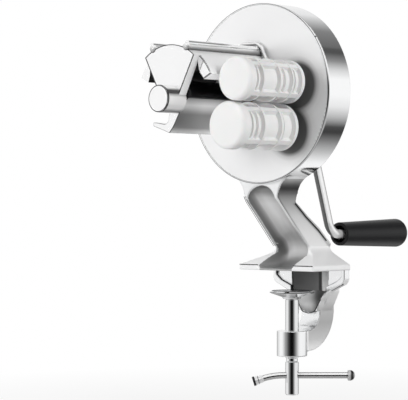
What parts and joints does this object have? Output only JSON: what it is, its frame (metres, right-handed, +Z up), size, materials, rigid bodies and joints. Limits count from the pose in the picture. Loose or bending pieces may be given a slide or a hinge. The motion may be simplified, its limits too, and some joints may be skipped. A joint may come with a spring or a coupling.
{
  "type": "cavatelli maker",
  "caption": "Hand-cranked pasta machine: a geared drum turns white rollers and a hooked cutter under a hood, on a slanted leg with a table clamp.",
  "frame": {"origin": "where the axis of the clamp screw meets the flat underside of the foot, which rests on the table top", "axes": "+Z up along the clamp screw, +Y from the rollers towards the crank handle, +X to the right seen from the rollers"},
  "size_m": [0.152, 0.282, 0.333],
  "materials": {
    "chrome_casting": "polished chrome plate on a casting, satin on the drum's face",
    "polished_steel": "polished, plated steel",
    "gear_steel": "machined and lightly oiled",
    "bronze": "sintered bearing bronze",
    "white_plastic": "food-grade white plastic, satin",
    "black_plastic": "satin black"
  },
  "bodies": {
    "frame": {"gear_housing": "chrome_casting", "back_cover": "chrome_casting", "cover_screws": "polished_steel", "front_bush": "bronze", "main_bush": "bronze", "rear_bush": "bronze", "upper_roller_bush": "bronze", "lower_roller_bush": "bronze", "front_bracket": "chrome_casting", "bracket_screws": "polished_steel", "support_leg": "chrome_casting", "clamp_frame": "chrome_casting"},
    "drive": {"main_shaft": "polished_steel", "gear_key": "gear_steel", "main_gear": "gear_steel", "cutter": "polished_steel", "cutter_pin": "polished_steel", "crank_arm": "polished_steel", "crank_hub": "polished_steel", "hub_screw": "polished_steel", "grip_nut": "polished_steel"},
    "hand_grip": {"grip": "black_plastic", "grip_cap": "black_plastic"},
    "upper_spindle": {"upper_roller": "white_plastic", "upper_axle": "gear_steel", "upper_gear": "gear_steel", "upper_clip": "gear_steel"},
    "lower_spindle": {"lower_roller": "white_plastic", "lower_axle": "gear_steel", "lower_gear": "gear_steel", "lower_clip": "gear_steel"},
    "pad": {"swivel_pad": "polished_steel"},
    "screw": {"clamp_screw": "polished_steel", "pad_clip": "polished_steel"},
    "tommy": {"tommy_bar": "polished_steel", "tommy_knob": "polished_steel", "tommy_ferrule": "polished_steel"}
  },
  "joints": [
    {"name": "crank_turn", "type": "hinge", "parent": "frame", "child": "drive", "pos_m": [-0.0173, 0, 0.1419], "axis": [0, 1, 0], "continuous": true},
    {"name": "upper_roller_spin", "type": "hinge", "parent": "frame", "child": "upper_spindle", "pos_m": [0.04066, 0, 0.15698], "axis": [0, 1, 0], "continuous": true},
    {"name": "lower_roller_spin", "type": "hinge", "parent": "frame", "child": "lower_spindle", "pos_m": [0.03205, 0, 0.11997], "axis": [0, 1, 0], "continuous": true},
    {"name": "grip_spin", "type": "hinge", "parent": "drive", "child": "hand_grip", "pos_m": [0.01259, 0.09, 0.03034], "axis": [0, 1, 0], "continuous": true},
    {"name": "pad_slide", "type": "slide", "parent": "frame", "child": "pad", "axis": [0, 0, 1], "range_m": [-0.023, 0.012]},
    {"name": "screw_turn", "type": "hinge", "parent": "pad", "child": "screw", "pos_m": [0, 0, -0.06], "axis": [0, 0, 1], "range_deg": [-4733, 2470]},
    {"name": "tommy_slide", "type": "slide", "parent": "screw", "child": "tommy", "axis": [0.7341, 0.6791, 0], "range_m": [-0.038, 0.0006]}
  ],
  "couplings": [
    {"joint": "lower_roller_spin", "follows": "crank_turn", "ratio": -1.8421},
    {"joint": "upper_roller_spin", "follows": "crank_turn", "ratio": 1.8421},
    {"joint": "pad_slide", "follows": "screw_turn", "m_per_rad": 0.00027852}
  ]
}
